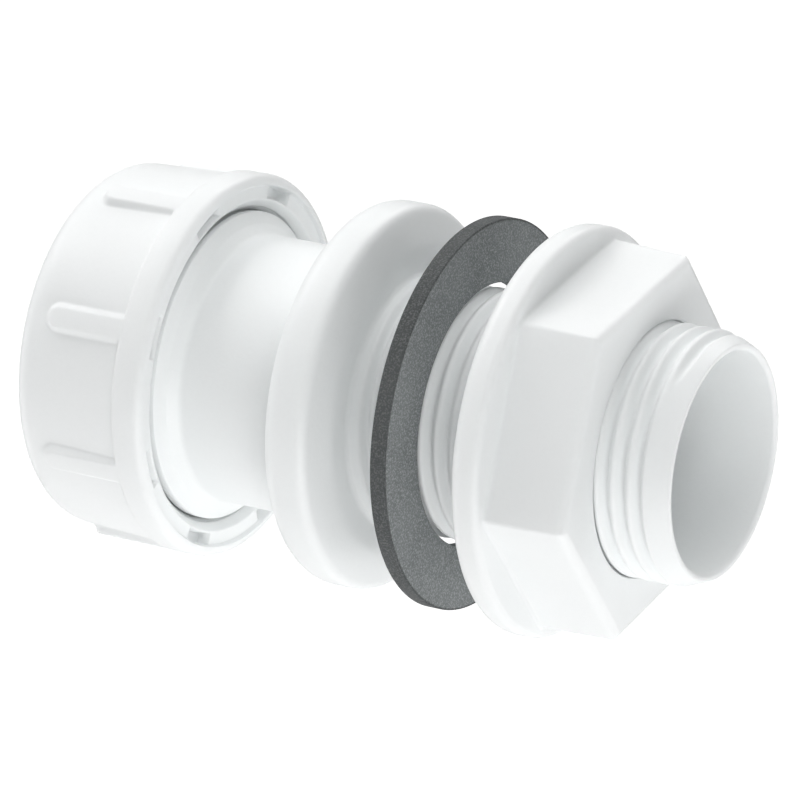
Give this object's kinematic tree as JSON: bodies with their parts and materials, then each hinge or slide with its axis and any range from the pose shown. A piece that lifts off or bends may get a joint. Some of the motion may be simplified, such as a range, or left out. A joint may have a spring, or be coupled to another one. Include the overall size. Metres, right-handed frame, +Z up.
{
  "type": "tank connector",
  "caption": "Plastic tank connector: compression nut for a plain pipe, flanged body with a threaded tail, rubber washer and flanged hexagonal backnut.",
  "frame": {"origin": "centre of the body flange's clamping face, on the fitting's axis", "axes": "+X along the fitting from the compression nut to the threaded tail, +Z up"},
  "size_m": [0.0728, 0.0425, 0.0424],
  "materials": {
    "white_plastic": "soft satin moulding",
    "nut_plastic": "soft satin moulding",
    "slip_plastic": "matt",
    "seal_rubber": "matt",
    "washer_rubber": "matt, fine grained"
  },
  "bodies": {
    "connector_body": {"connector_body": "white_plastic", "compression_seal": "seal_rubber"},
    "slip_washer": {"slip_washer": "slip_plastic"},
    "compression_nut": {"compression_nut": "nut_plastic"},
    "tank_washer": {"tank_washer": "washer_rubber"},
    "backnut": {"backnut": "nut_plastic"}
  },
  "joints": [
    {"name": "slip_slide", "type": "slide", "parent": "connector_body", "child": "slip_washer", "axis": [-1, 0, 0], "range_m": [0, 0.0058]},
    {"name": "nut_screw", "type": "hinge", "parent": "slip_washer", "child": "compression_nut", "pos_m": [-0.03, 0, 0], "axis": [-1, 0, 0], "range_deg": [0, 900]},
    {"name": "backnut_slide", "type": "slide", "parent": "connector_body", "child": "backnut", "axis": [1, 0, 0], "range_m": [-0.01425, 0.012]},
    {"name": "washer_slide", "type": "slide", "parent": "connector_body", "child": "tank_washer", "axis": [1, 0, 0], "range_m": [-0.00685, 0.00577]}
  ],
  "couplings": [
    {"joint": "slip_slide", "follows": "nut_screw", "m_per_rad": 0.00036749},
    {"joint": "washer_slide", "follows": "backnut_slide", "ratio": 0.4807}
  ]
}
